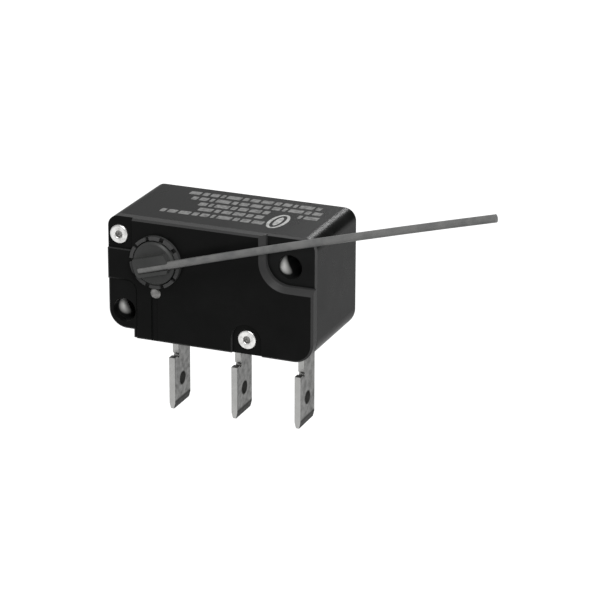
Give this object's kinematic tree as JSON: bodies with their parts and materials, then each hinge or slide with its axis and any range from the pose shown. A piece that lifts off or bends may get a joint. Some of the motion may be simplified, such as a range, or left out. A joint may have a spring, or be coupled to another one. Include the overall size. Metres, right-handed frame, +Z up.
{
  "type": "micro switch with side rotor and wire lever",
  "caption": "Black moulded snap-action switch with a side rotor, a long bowed wire lever, mounting holes and flat plug-on terminals.",
  "frame": {"origin": "centre of the lower mounting hole on the rear seating face", "axes": "+X along the case towards the lever's free end, +Y from the cover back to the seating face, +Z up, terminals pointing down"},
  "size_m": [0.0517, 0.0169, 0.0342],
  "materials": {
    "case_black": "moulded black, fine satin",
    "cover_black": "moulded black, fine satin",
    "rotor_black": "moulded black, satin",
    "wire_steel": "dark drawn spring steel",
    "pin_steel": "turned, dull",
    "terminal_plate": "tin plated",
    "rivet_plate": "nickel plated",
    "contact_silver": "silver alloy",
    "blade_alloy": "spring copper alloy",
    "spring_steel": "spring steel",
    "bush_polymer": "natural low-friction polymer",
    "plunger_polymer": "moulded, natural"
  },
  "bodies": {
    "case": {"base_housing": "case_black", "front_cover": "cover_black", "front_bush": "bush_polymer", "rear_bush": "bush_polymer", "stop_pin": "pin_steel", "rivet_upper_left": "rivet_plate", "rivet_lower": "rivet_plate", "terminal_common": "terminal_plate", "terminal_normally_open": "terminal_plate", "terminal_normally_closed": "terminal_plate", "contact_normally_open": "contact_silver", "contact_normally_closed": "contact_silver", "tension_spring": "spring_steel", "return_spring": "spring_steel"},
    "rotor": {"rotor_shaft": "rotor_black", "lever_hub": "rotor_black", "wire_lever": "wire_steel"},
    "plunger": {"plunger": "plunger_polymer"},
    "blade": {"snap_blade": "blade_alloy", "moving_contact": "contact_silver"}
  },
  "joints": [
    {"name": "rotor_turn", "type": "hinge", "parent": "case", "child": "rotor", "pos_m": [0.00465, -0.00683, 0.00715], "axis": [0, 1, 0], "range_deg": [0, 25], "stiffness_Nm_per_rad": 0.0005, "springref_deg": -34.38, "deforming": ["return_spring"]},
    {"name": "plunger_slide", "type": "slide", "parent": "case", "child": "plunger", "axis": [0, 0, -1], "range_m": [0, 0.0007]},
    {"name": "blade_tilt", "type": "hinge", "parent": "case", "child": "blade", "pos_m": [0.016, -0.00683, 0.0044], "axis": [0, -1, 0], "range_deg": [0, 4.1], "deforming": ["tension_spring"]}
  ],
  "couplings": [
    {"joint": "plunger_slide", "follows": "rotor_turn", "m_per_rad": 0.0015873},
    {"joint": "blade_tilt", "follows": "rotor_turn", "ratio": 0.1628}
  ]
}
